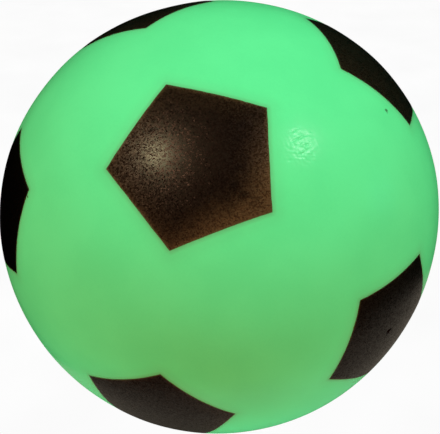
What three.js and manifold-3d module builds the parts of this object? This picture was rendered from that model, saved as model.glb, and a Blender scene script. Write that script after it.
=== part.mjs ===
// Foam soccer ball: a moulded foam core in one seamless green skin, with twelve black pentagons printed on it.
// Millimetres, +Z up. The origin is the ball's centre, and the ball stands on the small rest patch below it.
import * as THREE from 'three';
import { mergeVertices } from 'three/addons/utils/BufferGeometryUtils.js';
import Module from 'manifold-3d';

const wasm = await Module();
wasm.setup();

// Ball, core and skin
const BALL_DIAMETER = 200;
const SKIN_WALL = 1.2;
const BOND_CLEARANCE = 0.3; // between the core and the skin that is bonded to it
const REST_PATCH_DIAMETER = 20; // the spot that the ball's own weight flattens

// Ink: each print is a pentagon, its sides a little hollow against great circles of the ball
const PRINT_REACH = 32.4; // from a print's middle to its corners, along the surface
const PRINT_BOW = 0.55; // how far the middle of each side is drawn in
const PRINT_FILM = 0.2;
const PRINT_CLEARANCE = 0.05; // between the ink and the skin under it

// Vent: a pinhole through one print and the skin, set off from that print's middle along the surface
const VENT_DIAMETER = 1.4;
const VENT_ALONG = 0.8;
const VENT_ACROSS = 1.3;

// The pattern's turn on the ball, in degrees: where its front print lies, and how far its top corner leans left
const FRONT_AZIMUTH = -5.5; // from the front, which faces -Y, towards +X
const FRONT_LATITUDE = 40.5;
const FRONT_LEAN = 23.5;

// How far each print's stencil slipped from its true place: along towards its first corner and across, in
// millimetres over the surface, its twist in degrees, and how much farther its ink spread towards its corners.
// A print that isn't listed lies in its true place.
const STENCIL_SLIPS = {
  front: { along: 4.6, across: 0, twist: 0.4, spread: 0 },
  top: { along: 1.3, across: 0.5, twist: -2, spread: -0.4 },
  left: { along: 4, across: 2.1, twist: 0.2, spread: 0 },
  lower_front: { along: -1.2, across: -3.4, twist: 0.4, spread: -0.3 },
  lower_right: { along: -1.1, across: 4, twist: -0.6, spread: 0.3 },
  upper_right: { along: 2, across: -4, twist: 0, spread: 0.9 },
};
const TRUE_PLACE = { along: 0, across: 0, twist: 0, spread: 0 };

// The five prints in a ring round the front one, counter-clockwise, and the print opposite each
const RING_PRINTS = ['top', 'left', 'lower_front', 'lower_right', 'upper_right'];
const FAR_PRINTS = ['underside', 'right', 'upper_back', 'back_left', 'lower_left'];
const VENTED_PRINT = 'lower_right';

// Facets along each twentieth of a ball's edge, and from a print's middle to its corners
const SKIN_FACETS = 16;
const CORE_FACETS = 8;
const PRINT_FACETS = 5;

// What follows from the driving dimensions
const BALL_RADIUS = BALL_DIAMETER / 2;
const CAVITY_RADIUS = BALL_RADIUS - SKIN_WALL;
const CORE_RADIUS = CAVITY_RADIUS - BOND_CLEARANCE;
const REST_PATCH_DEPTH = BALL_RADIUS - Math.sqrt(BALL_RADIUS ** 2 - (REST_PATCH_DIAMETER / 2) ** 2);
const CORNERS = 5;
const CORNER_TURN = 360 / CORNERS;
const RING_TIP = THREE.MathUtils.radToDeg(Math.atan(2)); // between neighbouring prints of an even pattern
const CUT_OVERRUN = 1; // how far a cutter runs past the faces that it cuts

const AXIS_X = new THREE.Vector3(1, 0, 0);
const AXIS_Y = new THREE.Vector3(0, 1, 0);
const AXIS_Z = new THREE.Vector3(0, 0, 1);

const GREEN_ELASTOMER = new THREE.MeshStandardMaterial({ color: 0x62e08c, roughness: 0.42, flatShading: true });
const BLACK_INK = new THREE.MeshStandardMaterial({ color: 0x1c1410, roughness: 0.55, flatShading: true });
const CREAM_FOAM = new THREE.MeshStandardMaterial({ color: 0xf0e6cc, roughness: 0.95, flatShading: true });

// Turns and solids

function turn(axis, degrees) {
  return new THREE.Quaternion().setFromAxisAngle(axis, THREE.MathUtils.degToRad(degrees));
}

// A slide over the surface, from the +Z end of a print's own frame, as a turn about the ball's centre
function slide(along, across) {
  const degreesPerMillimetre = THREE.MathUtils.radToDeg(1 / BALL_RADIUS);
  return turn(AXIS_Y, along * degreesPerMillimetre).multiply(turn(AXIS_X, -across * degreesPerMillimetre));
}

function solidOf(geometry) {
  const bare = geometry.clone();
  bare.deleteAttribute('normal');
  bare.deleteAttribute('uv');
  const merged = mergeVertices(bare);
  return new wasm.Manifold(new wasm.Mesh({
    numProp: 3,
    vertProperties: new Float32Array(merged.attributes.position.array),
    triVerts: new Uint32Array(merged.index.array),
  }));
}

function geometryOf(solid) {
  const mesh = solid.getMesh();
  const geometry = new THREE.BufferGeometry();
  geometry.setAttribute('position', new THREE.BufferAttribute(mesh.vertProperties, mesh.numProp));
  geometry.setIndex(new THREE.BufferAttribute(mesh.triVerts, 1));
  return geometry;
}

// A ball of the given radius whose underside is pressed flat by the same depth at every layer
function pressedBall(radius, facets) {
  const floor = new THREE.BoxGeometry(2 * radius, 2 * radius, radius);
  floor.translate(0, 0, REST_PATCH_DEPTH - radius - radius / 2);
  return solidOf(new THREE.IcosahedronGeometry(radius, facets - 1)).subtract(solidOf(floor));
}

// The vent's drill in its print's own frame, from just inside the skin to just outside the ink
function ventDrill() {
  const length = SKIN_WALL + PRINT_FILM + 2 * CUT_OVERRUN;
  const drill = new THREE.CylinderGeometry(VENT_DIAMETER / 2, VENT_DIAMETER / 2, length, 12);
  drill.rotateX(Math.PI / 2);
  drill.translate(0, 0, CAVITY_RADIUS - CUT_OVERRUN + length / 2);
  return drill.applyQuaternion(slide(VENT_ALONG, VENT_ACROSS));
}

// Ink: one pentagon film, its middle at the +Z end of its own frame and its first corner towards +X
function pentagonFilm(cornerDistance) {
  const reach = cornerDistance / BALL_RADIUS;
  const sideDistance = cornerDistance * Math.cos(Math.PI / CORNERS);
  const facetHalfAngle = reach / (2 * Math.cos(Math.PI / CORNERS) * PRINT_FACETS);
  const innerRadius = (BALL_RADIUS + PRINT_CLEARANCE) / Math.cos(facetHalfAngle);
  const outerRadius = innerRadius + PRINT_FILM;
  const corners = [];
  for (let k = 0; k < CORNERS; k += 1) {
    corners.push(AXIS_Z.clone().applyAxisAngle(AXIS_Y, reach).applyQuaternion(turn(AXIS_Z, k * CORNER_TURN)));
  }
  const positions = [];
  const add = (radius, a, b, c) => {
    [a, b, c].forEach((point) => positions.push(...point.clone().multiplyScalar(radius).toArray()));
  };
  corners.forEach((corner, k) => {
    const nextCorner = corners[(k + 1) % CORNERS];
    // A point of this fifth of the pentagon, counted in facets towards its two corners
    const at = (i, j) => {
      const share = j / Math.max(i + j, 1);
      const facet = (1 - 4 * share * (1 - share) * PRINT_BOW / sideDistance) / PRINT_FACETS;
      return AXIS_Z.clone()
        .addScaledVector(corner.clone().sub(AXIS_Z), i * facet)
        .addScaledVector(nextCorner.clone().sub(AXIS_Z), j * facet)
        .normalize();
    };
    for (let i = 0; i < PRINT_FACETS; i += 1) {
      for (let j = 0; i + j < PRINT_FACETS; j += 1) {
        add(outerRadius, at(i, j), at(i + 1, j), at(i, j + 1));
        add(innerRadius, at(i, j), at(i, j + 1), at(i + 1, j));
        if (i + j + 1 < PRINT_FACETS) {
          add(outerRadius, at(i + 1, j), at(i + 1, j + 1), at(i, j + 1));
          add(innerRadius, at(i + 1, j), at(i, j + 1), at(i + 1, j + 1));
        }
      }
      const edgeStart = at(PRINT_FACETS - i, i);
      const edgeEnd = at(PRINT_FACETS - i - 1, i + 1);
      const lift = outerRadius / innerRadius;
      add(innerRadius, edgeStart, edgeEnd, edgeEnd.clone().multiplyScalar(lift));
      add(innerRadius, edgeStart, edgeEnd.clone().multiplyScalar(lift), edgeStart.clone().multiplyScalar(lift));
    }
  });
  const film = new THREE.BufferGeometry();
  film.setAttribute('position', new THREE.Float32BufferAttribute(positions, 3));
  return mergeVertices(film);
}

function slipOf(name) {
  return STENCIL_SLIPS[name] ?? TRUE_PLACE;
}

// Where every print lies: the front one, the ring round it, and the six opposite
function printPlaces() {
  const front = turn(AXIS_Z, FRONT_AZIMUTH)
    .multiply(turn(AXIS_X, 90 - FRONT_LATITUDE))
    .multiply(turn(AXIS_Z, 90 + FRONT_LEAN));
  const opposite = turn(AXIS_Y, 180);
  const places = new Map([['front', front], ['back', front.clone().multiply(opposite)]]);
  RING_PRINTS.forEach((name, k) => {
    const place = front.clone()
      .multiply(turn(AXIS_Z, k * CORNER_TURN))
      .multiply(turn(AXIS_Y, RING_TIP))
      .multiply(turn(AXIS_Z, 180));
    places.set(name, place);
    places.set(FAR_PRINTS[k], place.clone().multiply(opposite));
  });
  places.forEach((place, name) => {
    const slip = slipOf(name);
    place.multiply(slide(slip.along, slip.across)).multiply(turn(AXIS_Z, slip.twist));
  });
  return places;
}

// The ball put together
const ball = new THREE.Group();

function addPiece(name, geometry, material) {
  const piece = new THREE.Mesh(geometry, material);
  piece.name = name;
  ball.add(piece);
  return piece;
}

const places = printPlaces();
const placedDrill = ventDrill().applyQuaternion(places.get(VENTED_PRINT));
const skin = pressedBall(BALL_RADIUS, SKIN_FACETS)
  .subtract(pressedBall(CAVITY_RADIUS, CORE_FACETS))
  .subtract(solidOf(placedDrill));

addPiece('foam_core', geometryOf(pressedBall(CORE_RADIUS, CORE_FACETS)), CREAM_FOAM);
addPiece('skin', geometryOf(skin), GREEN_ELASTOMER);
places.forEach((place, name) => {
  const film = pentagonFilm(PRINT_REACH + slipOf(name).spread);
  const vented = name === VENTED_PRINT;
  const print = addPiece(
    `print_${name}`,
    vented ? geometryOf(solidOf(film).subtract(solidOf(ventDrill()))) : film,
    BLACK_INK,
  );
  print.quaternion.copy(place);
});

export default ball;
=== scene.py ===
"""A foam soccer ball, dressed: a moulded foam core, one seamless green skin and twelve black prints.

Lengths are in metres and angles in radians, unless a name says otherwise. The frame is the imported
model's own: the ball's centre at the origin, +Z up, and the photographed side towards -Y.
"""

import logging
import math
from dataclasses import dataclass, field
from enum import Enum
from typing import ClassVar, List, Mapping, Optional, Sequence, Tuple, Union

import bmesh
import bpy
import numpy as np
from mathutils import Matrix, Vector


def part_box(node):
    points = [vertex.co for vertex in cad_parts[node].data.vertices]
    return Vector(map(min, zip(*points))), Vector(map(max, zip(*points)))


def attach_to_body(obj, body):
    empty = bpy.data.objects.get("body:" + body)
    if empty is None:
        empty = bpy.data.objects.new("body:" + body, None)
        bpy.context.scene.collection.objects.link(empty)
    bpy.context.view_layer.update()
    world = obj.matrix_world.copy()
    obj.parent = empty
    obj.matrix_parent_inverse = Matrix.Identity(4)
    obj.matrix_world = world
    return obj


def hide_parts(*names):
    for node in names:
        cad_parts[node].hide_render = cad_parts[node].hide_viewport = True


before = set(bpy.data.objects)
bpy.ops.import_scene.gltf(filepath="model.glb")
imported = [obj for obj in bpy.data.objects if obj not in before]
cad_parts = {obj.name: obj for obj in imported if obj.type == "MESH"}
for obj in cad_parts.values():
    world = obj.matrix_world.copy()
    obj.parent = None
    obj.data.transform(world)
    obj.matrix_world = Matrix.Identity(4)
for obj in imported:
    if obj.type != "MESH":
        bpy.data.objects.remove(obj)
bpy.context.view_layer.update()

MM = 0.001
BODY = "root"
SHARP_EDGE = math.radians(50)
FULL_TURN = 2 * math.pi
GOLDEN_TURN = math.pi * (3 - math.sqrt(5))
SAME_PLACE_DECIMALS = 5
BLACK = (0, 0, 0, 1)
WHITE = (1, 1, 1, 1)
LOG = logging.getLogger("foam_soccer_ball")

Colour = Tuple[float, float, float, float]
Pixel = Tuple[float, float]
Span = Tuple[float, float]
Faces = List[List[int]]
Patch = Tuple[np.ndarray, Faces]
NodeOwner = Union[bpy.types.Material, bpy.types.World]


class Slot(Enum):
    """The record's material slots."""

    FOAM = "foam"
    SKIN = "green_skin"
    INK = "black_ink"


class Ray(Enum):
    """The kinds of ray that an object can be hidden from."""

    CAMERA = "visible_camera"
    DIFFUSE = "visible_diffuse"
    GLOSSY = "visible_glossy"
    SHADOW = "visible_shadow"


class Maths(Enum):
    """The Math node's operations that the finishes use."""

    ADD = "ADD"
    SUBTRACT = "SUBTRACT"
    MULTIPLY = "MULTIPLY"
    DIVIDE = "DIVIDE"


class Vectors(Enum):
    """The Vector Math node's operations that the finishes use."""

    ADD = "ADD"
    SUBTRACT = "SUBTRACT"
    MULTIPLY = "MULTIPLY"
    SCALE = "SCALE"
    NORMALIZE = "NORMALIZE"
    LENGTH = "LENGTH"


class Cells(Enum):
    """What a Voronoi node measures in its cells: the nearest middle, or the walls between them."""

    NEAREST = "F1"
    WALLS = "DISTANCE_TO_EDGE"


class Signal:
    """A value that varies over a surface: one output socket that takes part in Python arithmetic."""

    def __init__(self, bench: "Bench", socket: Optional[bpy.types.NodeSocket]) -> None:
        """Keep the socket, if the node has one, and the bench that the node stands on."""
        self.bench = bench
        self.socket = socket

    def __add__(self, other: "Operand") -> "Signal":
        """Return self + other."""
        return self.bench.maths(Maths.ADD, self, other)

    def __radd__(self, other: "Operand") -> "Signal":
        """Return other + self."""
        return self.bench.maths(Maths.ADD, other, self)

    def __sub__(self, other: "Operand") -> "Signal":
        """Return self - other."""
        return self.bench.maths(Maths.SUBTRACT, self, other)

    def __rsub__(self, other: "Operand") -> "Signal":
        """Return other - self."""
        return self.bench.maths(Maths.SUBTRACT, other, self)

    def __mul__(self, other: "Operand") -> "Signal":
        """Return self * other."""
        return self.bench.maths(Maths.MULTIPLY, self, other)

    def __rmul__(self, other: "Operand") -> "Signal":
        """Return other * self."""
        return self.bench.maths(Maths.MULTIPLY, other, self)

    def __truediv__(self, other: "Operand") -> "Signal":
        """Return self / other."""
        return self.bench.maths(Maths.DIVIDE, self, other)

    def __rtruediv__(self, other: "Operand") -> "Signal":
        """Return other / self."""
        return self.bench.maths(Maths.DIVIDE, other, self)


Operand = Union[float, Signal]
SocketKey = Union[str, int]
SocketValue = Union[float, Colour, Sequence[float], Signal]


class Bench:
    """The node tree of one material or world, and the one way to put a node on it."""

    # A Mix node's sockets for colours go by number, because its other kinds have the same names.
    first_colour, second_colour, mixed_colour = 6, 7, 2
    # Random colours lie evenly about this one.
    middle_grey = (0.5, 0.5, 0.5)

    def __init__(self, owner: NodeOwner) -> None:
        """Start with an empty node tree.

        Args:
            owner: The material or the world that the nodes are for.
        """
        self.owner = owner
        owner.use_nodes = True
        self.tree = owner.node_tree
        self.tree.nodes.clear()

    @classmethod
    def for_material(cls, name: str) -> "Bench":
        """Return the bench of a new material."""
        return cls(bpy.data.materials.new(name))

    def node(
        self,
        kind: str,
        settings: Mapping[str, object],
        sockets: Mapping[SocketKey, SocketValue],
        output: SocketKey = 0,
    ) -> Signal:
        """Add any node: its settings first, then its sockets.

        Args:
            kind: The node's type name.
            settings: The node's own properties.
            sockets: The value or the link of each input socket that is set.
            output: The output socket that is wanted.

        Returns:
            The wanted output.
        """
        made = self.tree.nodes.new(kind)
        for name, value in settings.items():
            setattr(made, name, value)
        for key, value in sockets.items():
            if isinstance(value, Signal):
                self.tree.links.new(value.socket, made.inputs[key])
            else:
                made.inputs[key].default_value = value
        return Signal(self, made.outputs[output] if made.outputs else None)

    def maths(self, operation: Maths, first: Operand, second: Operand) -> Signal:
        """Return a Math node's result for two values."""
        return self.node("ShaderNodeMath", {"operation": operation.value}, {0: first, 1: second})

    def vectors(
        self, operation: Vectors, sockets: Mapping[SocketKey, SocketValue], output: SocketKey = 0
    ) -> Signal:
        """Return a Vector Math node's result."""
        return self.node("ShaderNodeVectorMath", {"operation": operation.value}, sockets, output)

    def position(self) -> Signal:
        """Return the place on the piece, in metres."""
        return self.node("ShaderNodeTexCoord", {}, {}, output="Object")

    def attribute(self, name: str) -> Signal:
        """Return a number stored at the mesh's vertices."""
        return self.node("ShaderNodeAttribute", {"attribute_name": name}, {}, output="Fac")

    def noise(self, place: Signal, size: float, detail: float = 2.0, output: SocketKey = 0) -> Signal:
        """Return a noise about 0.5, in clouds of a size in metres with some octaves of detail."""
        sockets = {"Vector": place, "Scale": 1 / size, "Detail": detail}
        return self.node("ShaderNodeTexNoise", {"noise_dimensions": "3D"}, sockets, output)

    def voronoi(self, place: Signal, size: float, measure: Cells, output: SocketKey = 0) -> Signal:
        """Return what a Voronoi node measures in its cells, which have a size in metres."""
        sockets = {"Vector": place, "Scale": 1 / size}
        return self.node("ShaderNodeTexVoronoi", {"feature": measure.value}, sockets, output)

    def grains(self, place: Signal, size: float) -> Signal:
        """Return an even random value between 0 and 1 for each grain of a size in metres."""
        random = self.voronoi(place, size, Cells.NEAREST, "Color")
        return self.node("ShaderNodeSeparateColor", {}, {"Color": random}, output="Red")

    def facets(self, place: Signal, size: float, tilt: float, below: Signal) -> Signal:
        """Return a normal that tilts each grain of a size its own way, by up to an angle."""
        lean = self.swing(self.voronoi(place, size, Cells.NEAREST, "Color"), tilt)
        return self.vectors(Vectors.NORMALIZE, {0: self.vectors(Vectors.ADD, {0: below, 1: lean})})

    def swing(self, random: Signal, reach: float) -> Signal:
        """Return a vector that swings either way by a reach, from a random colour."""
        either_way = self.vectors(Vectors.SUBTRACT, {0: random, 1: self.middle_grey})
        return self.vectors(Vectors.SCALE, {0: either_way, "Scale": 2 * reach})

    def warped(self, place: Signal, size: float, reach: float) -> Signal:
        """Return coordinates that wander by up to a reach, in clouds of a size."""
        cloud = self.noise(place, size, detail=1.0, output="Color")
        return self.vectors(Vectors.ADD, {0: place, 1: self.swing(cloud, reach)})

    def step(self, value: Signal, low: float, high: float) -> Signal:
        """Return a smooth step from 0 at low to 1 at high."""
        sockets = {"Value": value, "From Min": low, "From Max": high, "To Min": 0.0, "To Max": 1.0}
        return self.node("ShaderNodeMapRange", {"interpolation_type": "SMOOTHSTEP"}, sockets)

    def mixed(self, factor: Operand, first: SocketValue, second: SocketValue) -> Signal:
        """Return a colour between two, the second where the factor is 1."""
        sockets = {0: factor, self.first_colour: first, self.second_colour: second}
        return self.node("ShaderNodeMix", {"data_type": "RGBA"}, sockets, self.mixed_colour)

    def bump(self, height: Signal, depth: float, below: Optional[Signal] = None) -> Signal:
        """Turn a height into a normal.

        Args:
            height: The height, as a share of the depth.
            depth: The height in metres where that share is 1.
            below: The normal of a coarser bump that this one lies on.

        Returns:
            The normal.
        """
        sockets = {"Height": height, "Distance": depth, "Strength": 1.0}
        if below is not None:
            sockets["Normal"] = below
        return self.node("ShaderNodeBump", {}, sockets)

    def finished(self, sockets: Mapping[str, SocketValue]) -> bpy.types.Material:
        """Close the tree with a Principled shader.

        Args:
            sockets: The shader's values and links.

        Returns:
            The material.
        """
        shader = self.node("ShaderNodeBsdfPrincipled", {}, sockets)
        self.node("ShaderNodeOutputMaterial", {"is_active_output": True}, {"Surface": shader})
        return self.owner

    def glowing(self, colour: SocketValue, glow: float) -> bpy.types.Material:
        """Close the tree with a black surface that only gives off light of a colour and a strength."""
        light = {"Emission Color": colour, "Emission Strength": glow}
        return self.finished({"Base Color": BLACK, "Specular IOR Level": 0.0, **light})


def within(span: Span, share: Signal) -> Signal:
    """Return the value at a share of the way through a span."""
    return span[0] + (span[1] - span[0]) * share


@dataclass(frozen=True)
class SkinFinish:
    """Satin mint-green elastomer: faint clouds, shallow puckers, orange peel, and ink by the prints.

    Each haze of ink has its share at a print's sides and its end, in millimetres outside them. The
    vent and the flaws are painted near-black inside, as painted shade in their hollows.
    """

    light: Colour = (0.057, 0.80, 0.326, 1)
    deep: Colour = (0.052, 0.765, 0.308, 1)
    # Painted shade: the near-black that the vent and the flaws are painted inside.
    hole_shade: Colour = (0.003, 0.003, 0.002, 1)
    haze: Colour = (0.057, 0.02, 0.01, 1)
    near_haze: Span = (0.22, 2.0)
    wide_haze: Span = (0.10, 7.0)
    cloud_size: float = 22 * MM
    cloud_share: float = 0.8
    cloud_edges: Span = (0.35, 0.65)
    pucker_size: float = 2.4 * MM
    pucker_depth: float = 0.006 * MM
    pucker_edges: Span = (0.4, 0.6)
    peel_size: float = 0.9 * MM
    peel_share: float = 0.2
    peel_depth: float = 0.003 * MM
    roughness: Span = (0.235, 0.265)
    hole_roughness: float = 0.6
    specular: float = 0.16

    def material(self) -> bpy.types.Material:
        """Mix the skin's material.

        Returns:
            The material.
        """
        bench = Bench.for_material("green_elastomer")
        place, painted_hole_shade = bench.position(), bench.attribute("painted_hole_shade")
        clouds = bench.noise(place, self.cloud_size, detail=3.0)
        peel = bench.noise(place, self.peel_size, detail=1.0)
        puckers = bench.noise(bench.warped(place, self.pucker_size, self.pucker_size), self.pucker_size)
        cloudy = bench.step(self.cloud_share * clouds + self.peel_share * peel, *self.cloud_edges)
        off_print = bench.attribute("off_print")
        near, wide = (
            share * (1 - bench.step(off_print, 0.0, end))
            for share, end in (self.near_haze, self.wide_haze)
        )
        hazed = bench.mixed(near + wide, bench.mixed(cloudy, self.deep, self.light), self.haze)
        satin = within(self.roughness, bench.step(puckers, *self.pucker_edges))
        return bench.finished({
            # The vent and the flaws take painted shade towards the near-black.
            "Base Color": bench.mixed(painted_hole_shade, hazed, self.hole_shade),
            "Roughness": satin + self.hole_roughness * painted_hole_shade,
            "Specular IOR Level": self.specular,
            "Normal": bench.bump(peel, self.peel_depth, below=bench.bump(puckers, self.pucker_depth)),
        })


@dataclass(frozen=True)
class InkFinish:
    """Brown-black ink with a sparkling grain, thinner and browner towards its edges.

    The bands are in millimetres inside a print's sides, as its mesh stores them, and each patch of the
    ink has them in a width of its own. The brown band on a print's lower right is painted reflection of
    the warm front light.
    """

    black: Colour = (0.0008, 0.0008, 0.0006, 1)
    thin: Colour = (0.0124, 0.0156, 0.0084, 1)
    # Brown of worn ink, and of the painted reflection of the warm front light on a print's lower right.
    brown_wear_and_reflection: Colour = (0.040, 0.044, 0.019, 1)
    seep: Colour = (0.036, 0.085, 0.034, 1)
    grain_size: float = 0.45 * MM
    grain_tilt: float = 0.11
    grain_wear_and_reflection: Span = (0.4, 1.6)
    patch_size: float = 3.6 * MM
    patch_widths: Span = (0.5, 1.5)
    lump_size: float = 1.8 * MM
    lump_depth: float = 0.05 * MM
    seep_band: float = 0.7
    seep_share: float = 0.6
    rim_band: float = 2.0
    rim_wear: float = 0.35
    soft_band: float = 11.0
    soft_wear: float = 0.12
    # Width of the band that takes the painted reflection of the warm front light.
    fill_reflection_band: float = 16.0
    roughness: Span = (0.32, 0.42)
    specular: float = 0.13
    tint: Colour = (1.0, 0.55, 0.56, 1)
    sparkle: float = 0.94
    sparkle_roughness: float = 0.28
    sparkle_ior: float = 1.25

    def material(self) -> bpy.types.Material:
        """Mix the prints' material.

        Returns:
            The material.
        """
        bench = Bench.for_material("black_ink")
        place = bench.position()
        grain = bench.grains(place, self.grain_size)
        uneven = within(self.patch_widths, bench.noise(place, self.patch_size))
        lumps = bench.bump(bench.noise(place, self.lump_size, detail=1.0), self.lump_depth)
        return bench.finished({
            "Base Color": self._colour(bench, grain, uneven),
            "Roughness": within(self.roughness, grain),
            "Specular IOR Level": self.specular,
            "Specular Tint": self.tint,
            "Coat Weight": self.sparkle * bench.step(grain, 0.0, 1.0),
            "Coat Roughness": self.sparkle_roughness,
            "Coat IOR": self.sparkle_ior,
            "Normal": bench.facets(place, self.grain_size, self.grain_tilt, below=lumps),
        })

    def _colour(self, bench: Bench, grain: Signal, uneven: Signal) -> Signal:
        """Mix the ink's colour: thin in its grains, brown at its rubbed edges and with painted
        reflection on its lower right, and green at its very edge.

        Args:
            bench: The bench of the ink's nodes.
            grain: A random value for each grain.
            uneven: How wide the bands along the sides are here, about 1.

        Returns:
            The colour.
        """
        edge = bench.attribute("edge") / uneven
        rim, soft, wide, thinnest = (
            1 - bench.step(edge, 0.0, band)
            for band in (self.rim_band, self.soft_band, self.fill_reflection_band, self.seep_band)
        )
        rubbed = bench.attribute("wear") * (self.rim_wear * rim + self.soft_wear * soft)
        # Brown from the worn edges, and painted reflection of the warm front light on the lower right.
        worn_and_reflecting = within(self.grain_wear_and_reflection, grain) * (rubbed + bench.attribute("fill_reflection") * wide)
        # Thinner ink in the grains; on the upper right print its amount also stands in for painted
        # sheen.
        film = bench.mixed(bench.attribute("thin_ink_and_sheen") * grain, self.black, self.thin)
        return bench.mixed(self.seep_share * thinnest, bench.mixed(worn_and_reflecting, film, self.brown_wear_and_reflection), self.seep)


@dataclass(frozen=True)
class FoamFinish:
    """Open-cell foam: cream, with cells of about a millimetre whose hollow middles carry painted shade.
    """

    cream: Colour = (0.87, 0.79, 0.60, 1)
    # The colour of the painted shade in the cells' hollow middles.
    shade: Colour = (0.62, 0.52, 0.34, 1)
    cell_size: float = 1.1 * MM
    cell_depth: float = 0.35 * MM
    cell_edges: Span = (0.02, 0.3)
    cloud_size: float = 22 * MM
    painted_pore_shades: Span = (0.6, 1.0)
    roughness: Span = (0.92, 0.98)

    def material(self) -> bpy.types.Material:
        """Mix the core's material.

        Returns:
            The material.
        """
        bench = Bench.for_material("open_cell_foam")
        place = bench.position()
        pores = bench.step(bench.voronoi(place, self.cell_size, Cells.WALLS), *self.cell_edges)
        clouds = bench.noise(place, self.cloud_size)
        # Painted shade in each cell's hollow middle, stronger in some clouds than in others.
        painted_pore_shade = pores * within(self.painted_pore_shades, clouds)
        return bench.finished({
            "Base Color": bench.mixed(painted_pore_shade, self.cream, self.shade),
            "Roughness": within(self.roughness, clouds),
            "Normal": bench.bump(1 - pores, self.cell_depth),
        })


@dataclass(frozen=True)
class FloorFinish:
    """A plain pale studio floor, lit so evenly that it shows no shade."""

    shade: Colour = (0.94, 0.94, 0.94, 1)
    light: Colour = WHITE
    cloud_size: float = 60 * MM
    glow: float = 1.0

    def material(self) -> bpy.types.Material:
        """Mix the floor's material.

        Returns:
            The material.
        """
        bench = Bench.for_material("pale_floor")
        clouds = bench.noise(bench.position(), self.cloud_size)
        return bench.glowing(bench.mixed(clouds, self.shade, self.light), self.glow)


@dataclass(frozen=True)
class CardFinish:
    """A card that throws light on the ball.

    One that lies in the ball's own shade is black out to the first distance from the ball's foot, and
    out of the shade from the second.
    """

    colour: Colour
    glow: float
    shade: Optional[Span] = None

    level: ClassVar[Tuple[int, int, int]] = (1, 1, 0)

    def material(self) -> bpy.types.Material:
        """Return the card's material."""
        bench = Bench.for_material("lit_card")
        return bench.glowing(self.colour if self.shade is None else self._shaded(bench), self.glow)

    def _shaded(self, bench: Bench) -> Signal:
        """Darken the card in the ball's shade.

        Args:
            bench: The bench of the card's nodes.

        Returns:
            The colour.
        """
        flat = bench.vectors(Vectors.MULTIPLY, {0: bench.position(), 1: self.level})
        away = bench.vectors(Vectors.LENGTH, {0: flat}, output="Value")
        return bench.mixed(bench.step(away, *self.shade), BLACK, self.colour)


def unit(vectors: np.ndarray) -> np.ndarray:
    """Return vectors scaled to length 1."""
    return vectors / np.linalg.norm(vectors, axis=-1, keepdims=True)


def eased(values: np.ndarray) -> np.ndarray:
    """Return values kept between 0 and 1 and eased at both ends."""
    shares = np.clip(values, 0, 1)
    return shares * shares * (3 - 2 * shares)


def arched(shares: Union[float, np.ndarray]) -> Union[float, np.ndarray]:
    """Return an even arch over shares of a way: 0 at both its ends and 1 half way along."""
    return 4 * shares * (1 - shares)


def pressed(points: np.ndarray, level: float) -> np.ndarray:
    """Return points of which those below a level are raised to it."""
    return np.column_stack([points[:, :2], np.maximum(points[:, 2], level)])


@dataclass(frozen=True)
class Viewpoint:
    """Where the photograph was taken from, and how it frames the ball.

    The pixel values are places in the photograph, which is 440 pixels wide and 434 high.
    """

    elevation: float = math.radians(32)
    distance: float = 340 * MM
    frame_px: Pixel = (440, 434)
    centre_px: Pixel = (219.73, 215.88)
    radius_px: float = 218.1
    sensor_mm: float = 36.0
    near_clip: float = 10 * MM

    def axes(self) -> np.ndarray:
        """Return the camera's right, up and backward directions as rows."""
        sine, cosine = math.sin(self.elevation), math.cos(self.elevation)
        return np.array([[1, 0, 0], [0, sine, cosine], [0, -cosine, sine]])

    def focal_px(self, ball_radius: float) -> float:
        """Return the focal length, in pixels, that shows the ball at its size in the photograph."""
        return self.radius_px * math.sqrt((self.distance / ball_radius) ** 2 - 1)

    def direction(self, pixel: Pixel, ball_radius: float, reach: float) -> np.ndarray:
        """Find the spot of the ball that a pixel of the photograph shows.

        Args:
            pixel: Its place in the photograph.
            ball_radius: The radius of the ball as a whole.
            reach: How far the spot lies from the ball's centre.

        Returns:
            The unit direction from the ball's centre to the spot.
        """
        across, down = (np.array(pixel) - self.centre_px) / self.focal_px(ball_radius)
        ray = unit(np.array([across, -down, -1.0]))
        eye = np.array([0, 0, self.distance / reach])
        nearest = -(ray @ eye)
        spot = eye + ray * (nearest - math.sqrt(max(nearest ** 2 - eye @ eye + 1, 0.0)))
        return unit(spot) @ self.axes()

    def build(self, ball_radius: float) -> bpy.types.Object:
        """Set up the scene's camera.

        Args:
            ball_radius: The radius of the ball that it looks at.

        Returns:
            The camera.
        """
        lens = bpy.data.cameras.new("photo_camera")
        width, height = self.frame_px
        lens.sensor_width = self.sensor_mm
        lens.lens = self.focal_px(ball_radius) * self.sensor_mm / width
        lens.shift_x = (width / 2 - self.centre_px[0]) / width
        lens.shift_y = (self.centre_px[1] - height / 2) / width
        lens.clip_start = self.near_clip
        camera = bpy.data.objects.new("photo_camera", lens)
        camera.location = Vector(self.axes()[2] * self.distance)
        camera.rotation_euler = (math.pi / 2 - self.elevation, 0, 0)
        bpy.context.scene.collection.objects.link(camera)
        bpy.context.scene.camera = camera
        return camera


@dataclass(frozen=True)
class Waves:
    """A smooth seeded unevenness: plane waves in all directions, of lengths spread about one length."""

    seed: int
    length: float
    height: float
    count: int = 40
    spread: Span = (0.6, 1.6)

    def at(self, points: np.ndarray) -> np.ndarray:
        """Find the unevenness at some points.

        Args:
            points: The points, as rows.

        Returns:
            The height at each point.
        """
        draw = np.random.default_rng(self.seed)
        ways = unit(draw.normal(size=(self.count, 3)))
        lengths = self.length * draw.uniform(*self.spread, self.count)
        starts = draw.uniform(0, FULL_TURN, self.count)
        phases = points @ (ways * (FULL_TURN / lengths)[:, None]).T + starts
        return self.height * np.sin(phases).sum(axis=1) / math.sqrt(self.count)


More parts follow.
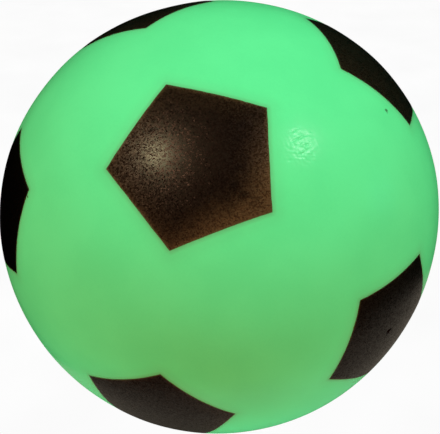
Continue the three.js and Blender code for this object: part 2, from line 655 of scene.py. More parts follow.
@dataclass(frozen=True)
class Lobe:
    """A slow swelling of the ball's outline, as the photograph's line of sight shows it.

    It has a count of equal peaks round the outline, the first at an angle from the right.
    """

    count: int
    height: float
    peak: float


class Mark:
    """Something small that sinks the ball's surface and needs a fine mesh."""

    def spots(self) -> np.ndarray:
        """Return the unit directions that need a fine mesh."""
        raise NotImplementedError

    def sink(self, directions: np.ndarray, radius: float) -> np.ndarray:
        """Return how deep the mark is in unit directions from the centre of a ball of a radius."""
        raise NotImplementedError


@dataclass(frozen=True)
class Pit(Mark):
    """A small hole: half its length one way, half its width across, its depth and its painted shade.

    Its wall runs down from its brim and is half way down at its half length and half width. Its painted
    shade ends at a distance of its own, after a short fade. Brim, shade reach and fade are counted in
    those halves.
    """

    spot: np.ndarray
    way: np.ndarray
    half_length: float
    half_width: float
    depth: float
    shade_strength: float
    shade_reach: float = 1.25
    shade_fade: float = 0.07
    brim: float = 1.25

    def spots(self) -> np.ndarray:
        """Return the hole's middle."""
        return self.spot[None, :]

    def _away(self, directions: np.ndarray, radius: float) -> np.ndarray:
        """Find how far from the hole's middle directions lie.

        Args:
            directions: Unit directions from the ball's centre.
            radius: The ball's radius.

        Returns:
            The distances, which are 1 at its half length and at its half width.
        """
        along = unit(self.way - self.spot * (self.way @ self.spot))
        across = np.cross(self.spot, along)
        shares = np.hypot(directions @ along / self.half_length, directions @ across / self.half_width)
        return np.where(directions @ self.spot > 0, radius * shares, np.inf)

    def sunk(self, directions: np.ndarray, radius: float) -> np.ndarray:
        """Return how far down the hole directions lie, from 0 to 1."""
        return eased((self.brim - self._away(directions, radius)) / (2 * (self.brim - 1)))

    def sink(self, directions: np.ndarray, radius: float) -> np.ndarray:
        """Return how deep the hole is in each direction."""
        return self.depth * self.sunk(directions, radius)

    def painted_hole_shade(self, directions: np.ndarray, radius: float) -> np.ndarray:
        """Return how dark the hole's painted shade is, from 0 to its shade strength."""
        return self.shade_strength * np.clip((self.shade_reach - self._away(directions, radius)) / self.shade_fade, 0, 1)


@dataclass(frozen=True)
class Crease(Mark):
    """A fine groove along a short path, shallower towards its ends."""

    path: np.ndarray
    half_width: float
    depth: float
    end_share: float = 0.08
    spots_per_leg: int = 5

    def spots(self) -> np.ndarray:
        """Return spots all along the groove."""
        shares = np.linspace(0, 1, self.spots_per_leg)[:, None]
        return unit(np.vstack([start + (end - start) * shares for start, end in self._legs()]))

    def _legs(self) -> List[Tuple[np.ndarray, np.ndarray]]:
        """Return the two ends of each leg of the path."""
        return list(zip(self.path[:-1], self.path[1:]))

    def sink(self, directions: np.ndarray, radius: float) -> np.ndarray:
        """Find how deep the groove is.

        Args:
            directions: Unit directions from the ball's centre.
            radius: The ball's radius.

        Returns:
            The depth in each direction.
        """
        lengths = np.linalg.norm(np.diff(self.path, axis=0), axis=1)
        passed = 0.0
        sink = np.zeros(len(directions))
        for (start, end), length in zip(self._legs(), lengths):
            share = np.clip((directions - start) @ (end - start) / length ** 2, 0, 1)
            off = np.linalg.norm(directions - start - share[:, None] * (end - start), axis=1) * radius
            along = (passed + share * length) / lengths.sum()
            fade = np.sin(math.pi * np.clip(along, self.end_share, 1 - self.end_share))
            sink = np.maximum(sink, self.depth * fade * np.exp(-(off / self.half_width) ** 2))
            passed += length
        return sink


@dataclass(frozen=True)
class Puckers(Mark):
    """A patch that is drawn into small waves, which fade out over an angle round its middle."""

    spot: np.ndarray
    half_width: float
    waves: Waves
    fine_spots: int = 40

    def spots(self) -> np.ndarray:
        """Spread spots in a spiral all over the patch.

        Returns:
            The spots.
        """
        count = np.arange(self.fine_spots)
        aside = unit(np.cross(self.spot, (0, 0, 1)))
        above = np.cross(aside, self.spot)
        turns = (count * GOLDEN_TURN)[:, None]
        reach = self.half_width * np.sqrt(count / self.fine_spots)[:, None]
        return unit(self.spot + (np.cos(turns) * aside + np.sin(turns) * above) * reach)

    def sink(self, directions: np.ndarray, radius: float) -> np.ndarray:
        """Return how deep the waves are in each direction."""
        off = np.linalg.norm(directions - self.spot, axis=1) / self.half_width
        return self.waves.at(directions * radius) * np.exp(-off ** 2)


@dataclass
class BallForm:
    """The ball's outer surface: nearly round, a little uneven, pressed flat where it stands."""

    radius: float
    rest_level: float
    sight: Viewpoint
    marks: Tuple[Mark, ...] = ()
    lobes: Tuple[Lobe, ...] = (
        Lobe(count=2, height=0.91 * MM, peak=math.radians(23)),
        Lobe(count=3, height=0.56 * MM, peak=math.radians(37)),
    )
    unevenness: Waves = Waves(seed=11, length=34 * MM, height=0.07 * MM)
    sight_rounds: int = 9
    fine_margin: float = 2.6 * MM

    def points(self, directions: np.ndarray, lift: float = 0.0) -> np.ndarray:
        """Place directions on the surface.

        Args:
            directions: Unit directions from the ball's centre.
            lift: How far above the surface the points lie.

        Returns:
            The points.
        """
        reach = self.reach(directions) + lift
        for mark in self.marks:
            reach -= mark.sink(directions, self.radius)
        return pressed(directions * reach[:, None], self.rest_level)

    def reach(self, directions: np.ndarray) -> np.ndarray:
        """Measure the bare surface, without its marks and its flat.

        Args:
            directions: Unit directions from the ball's centre.

        Returns:
            How far it lies from the ball's centre.
        """
        right, up, _ = self.sight.axes()
        turned = directions @ right + 1j * (directions @ up)
        reach = self.radius + self.unevenness.at(directions * self.radius)
        for lobe in self.lobes:
            reach += lobe.height * np.real((turned * np.exp(-1j * lobe.peak)) ** lobe.count)
        return reach

    def path(self, pixels: Sequence[Pixel]) -> np.ndarray:
        """Find the spots of the surface that some pixels of the photograph show.

        Args:
            pixels: Their places in the photograph.

        Returns:
            The unit directions from the ball's centre to the spots.
        """
        reaches = np.full(len(pixels), self.radius)
        for _ in range(self.sight_rounds):
            directions = np.array([
                self.sight.direction(pixel, self.radius, reach) for pixel, reach in zip(pixels, reaches)
            ])
            reaches = self.reach(directions)
        return directions

    def way(self, pixels: Tuple[Pixel, Pixel]) -> np.ndarray:
        """Return the unit direction, across the ball, from one pixel's spot to another's."""
        first, last = self.path(pixels)
        return unit(last - first)

    def painted_hole_shade(self, directions: np.ndarray) -> np.ndarray:
        """Return how dark the painted shade in the small holes is, from 0 to 1."""
        return np.max([pit.painted_hole_shade(directions, self.radius) for pit in self._pits()], axis=0)

    def sunk(self, directions: np.ndarray) -> np.ndarray:
        """Return how far down the small holes directions lie, from 0 to 1."""
        return np.max([pit.sunk(directions, self.radius) for pit in self._pits()], axis=0)

    def _pits(self) -> List[Pit]:
        """Return the small holes."""
        return [mark for mark in self.marks if isinstance(mark, Pit)]

    def spots(self) -> np.ndarray:
        """Return the unit directions of all the small marks, which need a fine mesh."""
        return np.vstack([mark.spots() for mark in self.marks])

    def fine_angle(self) -> float:
        """Return how far round a mark's spots the mesh is fine, as an angle."""
        return self.fine_margin / self.radius


def directions_of(node: bpy.types.Object) -> np.ndarray:
    """Find where the vertices of a CAD node lie.

    Args:
        node: The node's mesh object.

    Returns:
        The unit directions from the ball's centre to them, each once.
    """
    flat = np.zeros(len(node.data.vertices) * 3)
    node.data.vertices.foreach_get("co", flat)
    return np.unique(np.round(unit(flat.reshape(-1, 3)), SAME_PLACE_DECIMALS), axis=0)


def mesh_object(
    name: str, vertices: np.ndarray, faces: Faces, material: bpy.types.Material
) -> bpy.types.Object:
    """Make a mesh object that is smooth apart from its sharp edges.

    Args:
        name: The object's name.
        vertices: Its vertices.
        faces: The vertices of each face.
        material: Its material.

    Returns:
        The object, linked to the scene.
    """
    mesh = bpy.data.meshes.new(name)
    mesh.from_pydata(vertices.tolist(), [], faces)
    mesh.shade_smooth()
    mesh.set_sharp_from_angle(angle=SHARP_EDGE)
    mesh.materials.append(material)
    made = bpy.data.objects.new(name, mesh)
    bpy.context.scene.collection.objects.link(made)
    return made


def store(piece: bpy.types.Object, fields: Mapping[str, np.ndarray]) -> None:
    """Store numbers at a mesh object's vertices, for its material to read."""
    for name, values in fields.items():
        piece.data.attributes.new(name, "FLOAT", "POINT").data.foreach_set("value", values)


def hide(piece: bpy.types.Object, *rays: Ray) -> None:
    """Hide an object from some kinds of ray."""
    for ray in rays:
        setattr(piece, ray.value, False)


def attach(piece: bpy.types.Object, node: str) -> bpy.types.Object:
    """Ride a piece on the ball's body in place of a CAD node.

    Args:
        piece: The piece.
        node: The CAD node that it stands for.

    Returns:
        The piece.
    """
    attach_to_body(piece, BODY)
    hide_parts(node)
    return piece


def ball_mesh(subdivisions: int) -> Patch:
    """Make a unit ball of even triangles.

    Args:
        subdivisions: How often an icosahedron is divided.

    Returns:
        The unit directions of the vertices, and the faces.
    """
    bm = bmesh.new()
    bmesh.ops.create_icosphere(bm, subdivisions=subdivisions, radius=1.0)
    return arrays_of(bm)


def refined(
    directions: np.ndarray, faces: Faces, spots: np.ndarray, margin: float, cuts: int = 7
) -> Patch:
    """Divide the triangles near some spots of a ball more finely.

    Args:
        directions: The unit directions of the vertices.
        faces: The faces.
        spots: The unit directions that need finer triangles.
        margin: How far round each spot they reach, as an angle.
        cuts: How often each edge there is cut.

    Returns:
        The new directions and faces.
    """
    bm = bmesh.new()
    vertices = [bm.verts.new(direction) for direction in directions]
    for face in faces:
        bm.faces.new([vertices[index] for index in face])
    near = (directions @ spots.T).max(axis=1) > math.cos(margin)
    bm.verts.index_update()
    edges = [edge for edge in bm.edges if near[edge.verts[0].index] and near[edge.verts[1].index]]
    bmesh.ops.subdivide_edges(bm, edges=edges, cuts=cuts, use_grid_fill=True)
    bmesh.ops.triangulate(bm, faces=[face for face in bm.faces if len(face.verts) > 3])
    return arrays_of(bm)


def arrays_of(bm: bmesh.types.BMesh) -> Patch:
    """Turn a working mesh into arrays, and free it.

    Args:
        bm: The working mesh.

    Returns:
        Its vertices as unit directions, and its faces.
    """
    bm.verts.index_update()
    directions = unit(np.array([vertex.co for vertex in bm.verts]))
    faces = [[vertex.index for vertex in face.verts] for face in bm.faces]
    bm.free()
    return directions, faces


@dataclass
class Film:
    """A thin closed layer on the ball: a patch of directions and its faces."""

    directions: np.ndarray
    faces: Faces

    def without(self, lost: np.ndarray) -> "Film":
        """Cut a hole.

        Args:
            lost: Whether each vertex is lost, with the faces that touch it.

        Returns:
            The patch that is left.
        """
        faces = [face for face in self.faces if not lost[face].any()]
        kept = np.unique(np.concatenate(faces))
        place = np.zeros(len(self.directions), int)
        place[kept] = np.arange(len(kept))
        return Film(self.directions[kept], [[int(index) for index in place[face]] for face in faces])

    def rim(self) -> List[Tuple[int, int]]:
        """Return the patch's outer edges, as pairs of vertices, counter-clockwise."""
        edges = {(here, there) for face in self.faces for here, there in zip(face, face[1:] + face[:1])}
        return sorted(edge for edge in edges if edge[::-1] not in edges)

    def solid(self, form: BallForm, gap: float, thickness: float) -> Patch:
        """Thicken the patch over the ball's surface.

        Args:
            form: The surface that it lies on.
            gap: Its distance from that surface.
            thickness: Its thickness.

        Returns:
            The vertices, the top ones first, and the faces.
        """
        count = len(self.directions)
        top = form.points(self.directions, lift=gap + thickness)
        under = form.points(self.directions, lift=gap)
        faces = list(self.faces)
        faces += [[count + index for index in reversed(face)] for face in self.faces]
        for here, there in self.rim():
            faces.append([there, here, count + here])
            faces.append([there, count + here, count + there])
        return np.vstack([top, under]), faces


@dataclass(frozen=True)
class Stroke:
    """A short hair of ink beside a print, which loses a share of its width towards its end."""

    path: np.ndarray
    half_width: float
    taper: float = 0.6
    steps: int = 8

    def film(self, radius: float) -> Film:
        """Lay the hair on a ball.

        Args:
            radius: The ball's radius.

        Returns:
            The hair's patch.
        """
        first, last = self.path
        across = unit(np.cross(first, last - first)) * (self.half_width / radius)
        shares = np.linspace(0, 1, self.steps + 1)[:, None]
        middle = first + (last - first) * shares
        narrow = across * (1 - self.taper * shares)
        directions = np.empty((2 * len(middle), 3))
        directions[0::2], directions[1::2] = middle - narrow, middle + narrow
        faces = []
        for here in range(0, 2 * self.steps, 2):
            faces.append([here, here + 2, here + 1])
            faces.append([here + 1, here + 2, here + 3])
        return Film(unit(directions), faces)


@dataclass
class Pentagon:
    """The place of one print: its middle, its corners, counter-clockwise from outside, and its bow.

    The bow is how far, as an angle, the middle of a side is drawn in from a great circle. The zones say
    from which share of the way a vertex counts as a corner's or as the middle of a side.
    """

    middle: np.ndarray
    corners: np.ndarray
    bow: float = 0.0

    count: ClassVar[int] = 5
    fit_rounds: ClassVar[int] = 3
    corner_zone: ClassVar[float] = 0.9
    side_zone: ClassVar[float] = 0.9
    wander_power: ClassVar[int] = 4

    @classmethod
    def of_node(cls, node: bpy.types.Object) -> "Pentagon":
        """Read the place of a print from its CAD node.

        Args:
            node: The print's CAD object.

        Returns:
            The pentagon.
        """
        spread = directions_of(node)
        middle = unit(spread.mean(axis=0))
        for _ in range(cls.fit_rounds):
            angles = np.arccos(np.clip(spread @ middle, -1, 1))
            far = spread[angles > cls.corner_zone * angles.max()]
            first = far[0] - middle * (far[0] @ middle)
            side = np.cross(middle, first)
            turns = np.arctan2(far @ side, far @ first) % FULL_TURN
            fifths = np.round(turns / (FULL_TURN / cls.count)).astype(int) % cls.count
            corners = unit(np.array([far[fifths == k].mean(axis=0) for k in range(cls.count)]))
            middle = unit(corners.mean(axis=0))
        place = cls(middle, corners)
        inside, hollow, _ = place._sides(spread)
        drawn_in = [inside[hollow[:, k] > cls.side_zone, k].min() for k in range(cls.count)]
        place.bow = float(np.median(drawn_in))
        return place

    def _sides(self, directions: np.ndarray) -> Tuple[np.ndarray, np.ndarray, np.ndarray]:
        """Measure directions against the great circle through the ends of each side.

        Args:
            directions: Unit directions from the ball's centre.

        Returns:
            How far inside each side they lie, as an angle, how near its middle, from 0 to 1, and how
            far beyond its ends.
        """
        ends = np.roll(self.corners, -1, axis=0)
        inside = np.arcsin(np.clip(directions @ unit(np.cross(self.corners, ends)).T, -1, 1))
        spans = ends - self.corners
        lengths = np.linalg.norm(spans, axis=1)
        along = ((directions[:, None] - self.corners) * spans).sum(axis=2) / lengths
        nearest = np.clip(along, 0, lengths)
        return inside, arched(nearest / lengths), along - nearest

    def edge_distance(self, directions: np.ndarray, radius: float) -> np.ndarray:
        """Return how far inside the pentagon's sides directions lie, over a ball of a radius."""
        inside, hollow, _ = self._sides(directions)
        return (inside - self.bow * hollow).min(axis=1) * radius

    def distance(self, directions: np.ndarray, radius: float) -> np.ndarray:
        """Find how far directions lie outside the pentagon.

        Args:
            directions: Unit directions from the ball's centre.
            radius: The ball's radius.

        Returns:
            The distances over the surface, 0 inside the pentagon.
        """
        inside, hollow, beyond = self._sides(directions)
        outside = self.bow * hollow - inside
        reach = np.where(outside > 0, np.hypot(outside, beyond), np.inf).min(axis=1)
        far_side = directions @ self.middle < 0
        return np.where(far_side, math.pi, np.where(np.isinf(reach), 0, reach)) * radius

    def film(self, cells: int, wander: Waves, radius: float) -> Film:
        """Divide the pentagon into small triangles.

        Args:
            cells: How many triangles lie along a side.
            wander: How its edge wanders from a straight side.
            radius: The ball's radius.

        Returns:
            The patch.
        """
        reach = np.linalg.norm(self.corners[0] - self.middle)
        inset = reach * math.cos(math.pi / self.count)
        directions = [self.middle]
        for ring in range(1, cells + 1):
            for corner, following in zip(self.corners, np.roll(self.corners, -1, axis=0)):
                for step in range(ring):
                    share = step / ring
                    edge = corner + (following - corner) * share
                    drawn_in = 1 - arched(share) * self.bow / inset
                    directions.append(self.middle + (edge - self.middle) * (drawn_in * ring / cells))
        patch = np.array(directions)
        slack = wander.at(unit(patch) * radius) / (reach * radius)
        share = np.linalg.norm(patch - self.middle, axis=1) / reach
        patch = self.middle + (patch - self.middle) * (1 + slack * share ** self.wander_power)[:, None]
        return Film(unit(patch), self._faces(cells))

    def _ring(self, ring: int) -> List[int]:
        """Return the vertices of one ring of triangles' corners, counted from the middle."""
        start = 1 + self.count * ring * (ring - 1) // 2
        return list(range(start, start + self.count * ring)) if ring else [0]

    def _faces(self, cells: int) -> Faces:
        """Join the rings of vertices by triangles.

        Args:
            cells: How many triangles lie along a side.

        Returns:
            The triangles.
        """
        faces = []
        for ring in range(cells):
            inner, outer = self._ring(ring), self._ring(ring + 1)
            for fifth in range(self.count):
                for step in range(ring + 1):
                    near = inner[(fifth * ring + step) % len(inner)]
                    here = outer[fifth * (ring + 1) + step]
                    there = outer[(fifth * (ring + 1) + step + 1) % len(outer)]
                    faces.append([near, here, there])
                    if step < ring:
                        beside = inner[(fifth * ring + step + 1) % len(inner)]
                        faces.append([near, there, beside])
        return faces


@dataclass
class FoamCore:
    """The moulded foam ball inside the skin, with the open pores of its surface."""

    form: BallForm
    inset: float
    rest_level: float
    subdivisions: int = 7
    pores: int = 1400
    pore_seed: int = 23
    pore_radius: Span = (1.5 * MM, 3.4 * MM)
    pore_depth: float = 0.55 * MM
    finish: FoamFinish = FoamFinish()

    def build(self) -> bpy.types.Object:
        """Build the core.

        Returns:
            The core.
        """
        directions, faces = ball_mesh(self.subdivisions)
        draw = np.random.default_rng(self.pore_seed)
        middles = unit(draw.normal(size=(self.pores, 3)))
        widths = draw.uniform(*self.pore_radius, self.pores) / (self.form.radius - self.inset)
        sink = np.zeros(len(directions))
        for middle, width in zip(middles, widths):
            away = np.sqrt(np.maximum(2 - 2 * directions @ middle, 0)) / width
            sink = np.maximum(sink, np.clip(1 - away ** 2, 0, 1) * width)
        sink *= self.pore_depth / sink.max()
        reach = self.form.reach(directions) - self.inset - sink
        placed = pressed(directions * reach[:, None], self.rest_level)
        return self.dress(mesh_object("moulded_foam_core", placed, faces, self.finish.material()))

    def dress(self, core: bpy.types.Object) -> bpy.types.Object:
        """Args:
            core: The core.

        Returns:
            The core.
        """
        attach(core, "foam_core")
        return core


@dataclass
class Skin:
    """The seamless coating: an outer surface with its vent and flaws, and the wall's inner surface."""

    form: BallForm
    places: Sequence[Pentagon]
    wall: float
    inner_rest_level: float
    subdivisions: int = 7
    inner_subdivisions: int = 5
    finish: SkinFinish = SkinFinish()

    def build(self) -> bpy.types.Object:
        """Build the skin.

        Returns:
            The skin.
        """
        outside, faces = ball_mesh(self.subdivisions)
        outside, faces = refined(outside, faces, self.form.spots(), self.form.fine_angle())
        inside, inner_faces = ball_mesh(self.inner_subdivisions)
        lining = pressed(inside * (self.form.reach(inside) - self.wall)[:, None], self.inner_rest_level)
        faces += [[len(outside) + index for index in reversed(face)] for face in inner_faces]
        placed = np.vstack([self.form.points(outside), lining])
        skin = mesh_object("green_elastomer_skin", placed, faces, self.finish.material())
        return self.dress(skin, np.vstack([outside, inside]))

    def dress(self, skin: bpy.types.Object, directions: np.ndarray) -> bpy.types.Object:
        """Store the painted shade in the skin's holes and how far off the prints lie, and attach it.

        Args:
            skin: The skin.
            directions: The unit direction of each vertex.

        Returns:
            The skin.
        """
        distances = [place.distance(directions, self.form.radius) for place in self.places]
        off_print = np.min(distances, axis=0)
        # Painted shade in the vent and the flaws, for the skin's colour to read.
        store(skin, {"painted_hole_shade": self.form.painted_hole_shade(directions), "off_print": off_print / MM})
        return attach(skin, "skin")


@dataclass(frozen=True)
class InkLay:
    """How one print took, from 0 to 1.

    How thin its ink is, which on the upper right print also stands in for painted sheen; its edges'
    wear; and the painted reflection of the warm front light on its lower right.
    """

    thin_ink_and_sheen: float
    wear: float
    fill_reflection: float


@dataclass
class Print:
    """One pentagon of ink on the skin, with any strokes beside it."""

    node: str
    place: Pentagon
    form: BallForm
    ink: bpy.types.Material
    # The way towards a print's lower right, where the painted reflection lies.
    fill_reflection_way: np.ndarray
    lay: InkLay
    strokes: Tuple[Stroke, ...] = ()
    cells: int = 34
    hole_edge: float = 0.5
    # Where the painted reflection starts and where it is full, as shares of the middle-to-corner reach.
    fill_reflection_span: Span = (0.1, 1.2)
    gap: float = 0.01 * MM
    thickness: float = 0.06 * MM
    wander: Waves = Waves(seed=5, length=7 * MM, height=0.10 * MM)

    def build(self) -> bpy.types.Object:
        """Build the print.

        Returns:
            The print.
        """
        films = [self._sheet(), *(stroke.film(self.form.radius) for stroke in self.strokes)]
        vertices, faces, directions = [], [], []
        for film in films:
            shift = sum(len(part) for part in vertices)
            points, film_faces = film.solid(self.form, self.gap, self.thickness)
            vertices.append(points)
            directions += [film.directions, film.directions]
            faces += [[shift + index for index in face] for face in film_faces]
        made = mesh_object(f"ink_{self.node}", np.vstack(vertices), faces, self.ink)
        return self.dress(made, np.vstack(directions))

    def _sheet(self) -> Film:
        """Lay the pentagon's own film, finer round the marks of the surface under it.

        Returns:
            The film.
        """
        sheet = self.place.film(self.cells, self.wander, self.form.radius)
        spots = self.form.spots()
        spots = spots[self.place.edge_distance(spots, self.form.radius) > 0]
        if not len(spots):
            return sheet
        sheet = Film(*refined(sheet.directions, sheet.faces, spots, self.form.fine_angle()))
        return sheet.without(self.form.sunk(sheet.directions) > self.hole_edge)

    def dress(self, made: bpy.types.Object, directions: np.ndarray) -> bpy.types.Object:
        """Store how the ink lies and where its painted reflection falls, and attach the print.

        Args:
            made: The print.
            directions: The unit direction of each vertex.

        Returns:
            The print.
        """
        middle = self.place.middle
        reach = np.linalg.norm(self.place.corners[0] - middle)
        share = directions @ unit(self.fill_reflection_way - middle * (self.fill_reflection_way @ middle)) / reach
        start, full = self.fill_reflection_span
        store(made, {
            "edge": self.place.edge_distance(directions, self.form.radius) / MM,
            "fill_reflection": self.lay.fill_reflection * eased((share - start) / (full - start)),
            "thin_ink_and_sheen": np.full(len(directions), self.lay.thin_ink_and_sheen),
            "wear": np.full(len(directions), self.lay.wear),
        })
        return attach(made, self.node)


@dataclass(frozen=True)
class Lamp:
    """One soft round light of the studio, aimed at the ball's centre.

    Its azimuth is counted from the front towards the right, and both angles are in degrees. A lamp
    hidden from the glossy rays makes no highlight, and one hidden from the diffuse rays nothing else.
    """

    name: str
    azimuth: float
    elevation: float
    diameter: float
    watts: float
    tint: Tuple[float, float, float]
    hidden: Ray
    distance: float = 2.0

    def build(self) -> bpy.types.Object:
        """Build the lamp.

        Returns:
            The lamp.
        """
        light = bpy.data.lights.new(self.name, "AREA")
        light.shape = "DISK"
        light.size = self.diameter
        light.energy = self.watts
        light.color = self.tint
        lamp = bpy.data.objects.new(self.name, light)
        turn, tilt = math.radians(self.azimuth), math.radians(self.elevation)
        level = math.cos(tilt)
        way = Vector((level * math.sin(turn), -level * math.cos(turn), math.sin(tilt)))
        lamp.location = way * self.distance
        lamp.rotation_euler = way.to_track_quat("Z", "Y").to_euler()
        bpy.context.scene.collection.objects.link(lamp)
        hide(lamp, Ray.CAMERA, self.hidden)
        return lamp


@dataclass(frozen=True)
class Disc:
    """A level disc a little below the ball's foot, or a ring where it has an inner radius first."""

    name: str
    radii: Tuple[float, ...]
    finish: Union[FloorFinish, CardFinish]
    hidden: Tuple[Ray, ...]
    drop: float = 0.5 * MM
    shift: Tuple[float, float] = (0.0, 0.0)
    sides: int = 96

    def build(self, foot: float) -> bpy.types.Object:
        """Build the disc.

        Args:
            foot: The height of the ball's foot.

        Returns:
            The disc.
        """
        turns = np.arange(self.sides) * (FULL_TURN / self.sides)
        circle = np.column_stack([np.cos(turns), np.sin(turns), np.zeros(self.sides)])
        middle = (*self.shift, foot - self.drop)
        vertices = np.vstack([circle * radius + middle for radius in self.radii])
        faces = [list(range(self.sides))]
        if len(self.radii) > 1:
            steps = [(k, (k + 1) % self.sides) for k in range(self.sides)]
            faces = [[here, self.sides + here, self.sides + there, there] for here, there in steps]
        disc = mesh_object(self.name, vertices, faces, self.finish.material())
        hide(disc, *self.hidden)
        return disc


@dataclass
class Studio:
    """A plain pale floor, lamps round the ball, and cards that stand for the lit floor's own light.

    The camera sees only the floor. The cards are a bright ring round the ball's shade, a sheen that the
    ball's gloss shows, and the floor behind the ball.
    """

    floor_level: float
    room: Colour = (1.67, 0.23, 0.03, 1)
    discs: Tuple[Disc, ...] = (
        Disc(
            "floor",
            radii=(6.0,),
            finish=FloorFinish(),
            hidden=(Ray.DIFFUSE, Ray.GLOSSY, Ray.SHADOW),
            drop=0.05 * MM,
        ),
        Disc(
            "lit_floor",
            radii=(100 * MM, 140 * MM),
            finish=CardFinish(colour=(0.9, 1.0, 1.0, 1), glow=2.94),
            hidden=(Ray.CAMERA, Ray.GLOSSY, Ray.SHADOW),
        ),
        Disc(
            "floor_sheen",
            radii=(155 * MM,),
            finish=CardFinish(colour=(1.0, 0.87, 0.69, 1), glow=0.24, shade=(30 * MM, 110 * MM)),
            hidden=(Ray.CAMERA, Ray.DIFFUSE, Ray.SHADOW),
            shift=(52 * MM, -20 * MM),
        ),
        Disc(
            "rear_floor",
            radii=(150 * MM,),
            finish=CardFinish(colour=(0.0, 0.7, 1.0, 1), glow=1.2),
            hidden=(Ray.CAMERA, Ray.GLOSSY, Ray.SHADOW),
            shift=(0.0, 270 * MM),
        ),
    )
    lamps: Tuple[Lamp, ...] = (
        Lamp(
            "lamp_left", azimuth=-51.9, elevation=52.7, diameter=0.25, watts=20.0,
            tint=(1.0, 0.92, 0.52), hidden=Ray.DIFFUSE,
        ),
        Lamp(
            "lamp_right", azimuth=68.8, elevation=50.0, diameter=0.16, watts=7.6,
            tint=(1.0, 1.0, 1.0), hidden=Ray.DIFFUSE,
        ),
        Lamp(
            "sky_left", azimuth=-71.6, elevation=54.5, diameter=0.60, watts=20.4,
            tint=(0.48, 0.98, 1.0), hidden=Ray.GLOSSY,
        ),
        Lamp(
            "sky_right", azimuth=76.7, elevation=51.3, diameter=0.60, watts=22.4,
            tint=(0.43, 0.97, 1.0), hidden=Ray.GLOSSY,
        ),
        Lamp(
            "side_right", azimuth=87.1, elevation=9.2, diameter=0.60, watts=8.2,
            tint=(0.0, 0.94, 1.0), hidden=Ray.GLOSSY,
        ),
        Lamp(
            "fill_front", azimuth=-30.2, elevation=-7.2, diameter=0.60, watts=13.8,
            tint=(1.0, 0.55, 0.46), hidden=Ray.GLOSSY,
        ),
    )

    def build(self) -> None:
        """Build the floor, the cards, the lamps and the surroundings."""
        for disc in self.discs:
            disc.build(self.floor_level)
        for lamp in self.lamps:
            lamp.build()
        self._surroundings()

    def _surroundings(self) -> None:
        """Make the surroundings white to the camera, a warm room to the ball, and dark in its gloss."""
        world = bpy.data.worlds.new("studio")
        bench = Bench(world)
        seen = bench.node("ShaderNodeLightPath", {}, {}, output="Is Camera Ray")
        room, backdrop = (
            bench.node("ShaderNodeBackground", {}, {"Color": colour, "Strength": 1.0})
            for colour in (self.room, WHITE)
        )
        surroundings = bench.node("ShaderNodeMixShader", {}, {0: seen, 1: room, 2: backdrop})
        bench.node("ShaderNodeOutputWorld", {"is_active_output": True}, {"Surface": surroundings})
        bpy.context.scene.world = world
        world.cycles_visibility.glossy = False
        bpy.context.scene.view_settings.view_transform = "Standard"


@dataclass
class SurfaceMarks:
    """The small marks of the skin: a vent with a tail, two flaws, and a highlight's creases and puckers.

    Their places come from pixels of the photograph, apart from the vent's, which is its CAD hole's.
    """

    vented_node: str = "print_lower_right"
    vent_crowd: float = 1.6 * MM
    vent_way_px: Tuple[Pixel, Pixel] = ((386.3, 332.3), (391.3, 328.0))
    vent_half_length: float = 1.05 * MM
    vent_half_width: float = 1.15 * MM
    vent_depth: float = 1.1 * MM
    # How dark the painted shade in the vent is, and how far round it that shade reaches.
    vent_shade: float = 1.0
    vent_shade_reach: float = 2.0
    tail_px: Tuple[Pixel, ...] = ((389.2, 330.0), (390.2, 328.9), (391.6, 328.3))
    tail_half_width: float = 0.35 * MM
    tail_depth: float = 0.3 * MM
    flaws_px: Tuple[Pixel, Pixel] = ((386.5, 110.4), (387.5, 112.6))
    flaw_half_length: float = 0.55 * MM
    flaw_half_width: float = 0.8 * MM
    flaw_depth: float = 0.5 * MM
    # How dark the painted shade in the flaws is.
    flaw_shade: float = 0.6
    faint_share: float = 0.6
    creases_px: Tuple[Tuple[Pixel, ...], ...] = (
        ((285.0, 143.6), (291.0, 142.2), (297.0, 139.2), (303.5, 136.0), (307.0, 134.8), (313.0, 134.4)),
        ((292.5, 132.0), (295.0, 130.2), (297.5, 129.0)),
        ((310.3, 133.0), (311.6, 131.0)),
        ((303.5, 144.8), (307.5, 144.4), (311.5, 144.8)),
        ((296.0, 154.6), (301.0, 154.0), (306.5, 151.2)),
        ((287.6, 161.0), (291.5, 160.0)),
    )
    crease_half_width: float = 0.35 * MM
    crease_depth: float = 0.07 * MM
    puckers_px: Pixel = (302.0, 147.0)
    puckers_half_width: float = 6.0 * MM
    pucker_waves: Waves = Waves(seed=8, length=1.7 * MM, height=0.03 * MM)

    def find(self, form: BallForm) -> Tuple[Mark, ...]:
        """Place the marks on the ball.

        Args:
            form: The bare surface of the ball.

        Returns:
            The marks.
        """
        vent, vent_way = self._vent(form), form.way(self.vent_way_px)
        vent_sizes = (self.vent_half_length, self.vent_half_width, self.vent_depth, self.vent_shade)
        flaw, faint = form.path(self.flaws_px)
        flaw_sizes = np.array(
            [self.flaw_half_length, self.flaw_half_width, self.flaw_depth, self.flaw_shade]
        )
        middle, = form.path([self.puckers_px])
        return (
            Pit(vent, vent_way, *vent_sizes, shade_reach=self.vent_shade_reach),
            Pit(flaw, faint - flaw, *flaw_sizes),
            Pit(faint, faint - flaw, *(self.faint_share * flaw_sizes)),
            Puckers(middle, self.puckers_half_width / form.radius, self.pucker_waves),
            Crease(form.path(self.tail_px), self.tail_half_width, self.tail_depth),
            *(
                Crease(form.path(crease_px), self.crease_half_width, self.crease_depth)
                for crease_px in self.creases_px
            ),
        )

    def _vent(self, form: BallForm) -> np.ndarray:
        """Find the vent: the place where its print's vertices crowd together.

        Args:
            form: The bare surface of the ball.

        Returns:
            The unit direction from the ball's centre to it.
        """
        spread = directions_of(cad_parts[self.vented_node])
        crowd = (spread @ spread.T > math.cos(self.vent_crowd / form.radius)).sum(axis=1)
        return unit(spread[crowd > crowd.max() / 2].mean(axis=0))


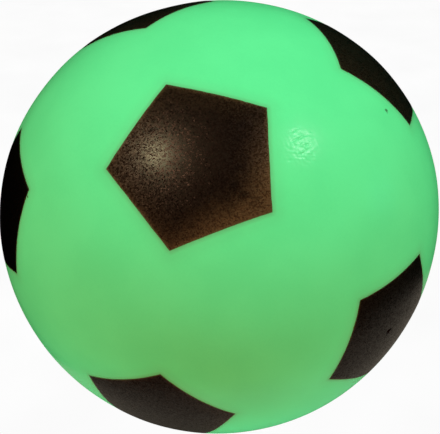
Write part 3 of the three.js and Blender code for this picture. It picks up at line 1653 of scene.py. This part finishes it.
@dataclass
class FoamBall:
    """The whole ball, read from the frame: its core, its skin and its twelve prints."""

    sight: Viewpoint
    marks: SurfaceMarks = field(default_factory=SurfaceMarks)
    bond_gap: float = 0.3 * MM
    # Two pixels that give the way of the painted reflection on the prints.
    fill_reflection_px: Tuple[Pixel, Pixel] = ((189.0, 165.0), (257.0, 225.0))
    hair_px: Tuple[Pixel, Pixel] = ((25.4, 192.0), (28.2, 197.8))
    hair_half_width: float = 0.3 * MM
    hair_node: str = "print_left"
    usual_lay: InkLay = InkLay(thin_ink_and_sheen=0.2, wear=0.15, fill_reflection=0.1)
    lays: Mapping[str, InkLay] = field(default_factory=lambda: {
        # The front print takes the strongest painted reflection of the warm front light.
        "print_front": InkLay(thin_ink_and_sheen=0.32, wear=1.0, fill_reflection=0.95),
        "print_top": InkLay(thin_ink_and_sheen=0.8, wear=0.4, fill_reflection=0.1),
        "print_left": InkLay(thin_ink_and_sheen=0.0, wear=0.1, fill_reflection=0.0),
        "print_lower_front": InkLay(thin_ink_and_sheen=0.25, wear=0.4, fill_reflection=0.1),
        # The upper right print's thin ink is raised to stand in for painted sheen near its limb.
        "print_upper_right": InkLay(thin_ink_and_sheen=1.0, wear=0.1, fill_reflection=0.0),
    })
    pieces: List[bpy.types.Object] = field(default_factory=list)

    def build(self) -> None:
        """Build the ball's pieces."""
        low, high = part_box("skin")
        radius = (high.x - low.x) / 2
        core_low, core_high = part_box("foam_core")
        inset = radius - (core_high.x - core_low.x) / 2
        form = BallForm(radius, low.z, self.sight)
        form.marks = self.marks.find(form)
        places = {
            name: Pentagon.of_node(node) for name, node in sorted(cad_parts.items())
            if name.startswith("print_")
        }
        cavity = (inset - self.bond_gap, core_low.z - self.bond_gap)
        self.pieces.append(FoamCore(form, inset, core_low.z).build())
        self.pieces.append(Skin(form, list(places.values()), *cavity).build())
        ink, fill_reflection_way = InkFinish().material(), form.way(self.fill_reflection_px)
        hair = Stroke(form.path(self.hair_px), self.hair_half_width)
        for name, place in places.items():
            strokes = (hair,) if name == self.hair_node else ()
            lay = self.lays.get(name, self.usual_lay)
            self.pieces.append(Print(name, place, form, ink, fill_reflection_way, lay, strokes).build())


def main() -> None:
    """Build the camera, the studio and the ball."""
    logging.basicConfig(level=logging.INFO, format="%(message)s")
    sight = Viewpoint()
    low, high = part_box("skin")
    sight.build((high.x - low.x) / 2)
    Studio(low.z).build()
    ball = FoamBall(sight)
    ball.build()
    for piece in ball.pieces:
        mesh = piece.data
        LOG.info("%s: %d vertices, %d faces", piece.name, len(mesh.vertices), len(mesh.polygons))


if __name__ == "__main__":
    main()
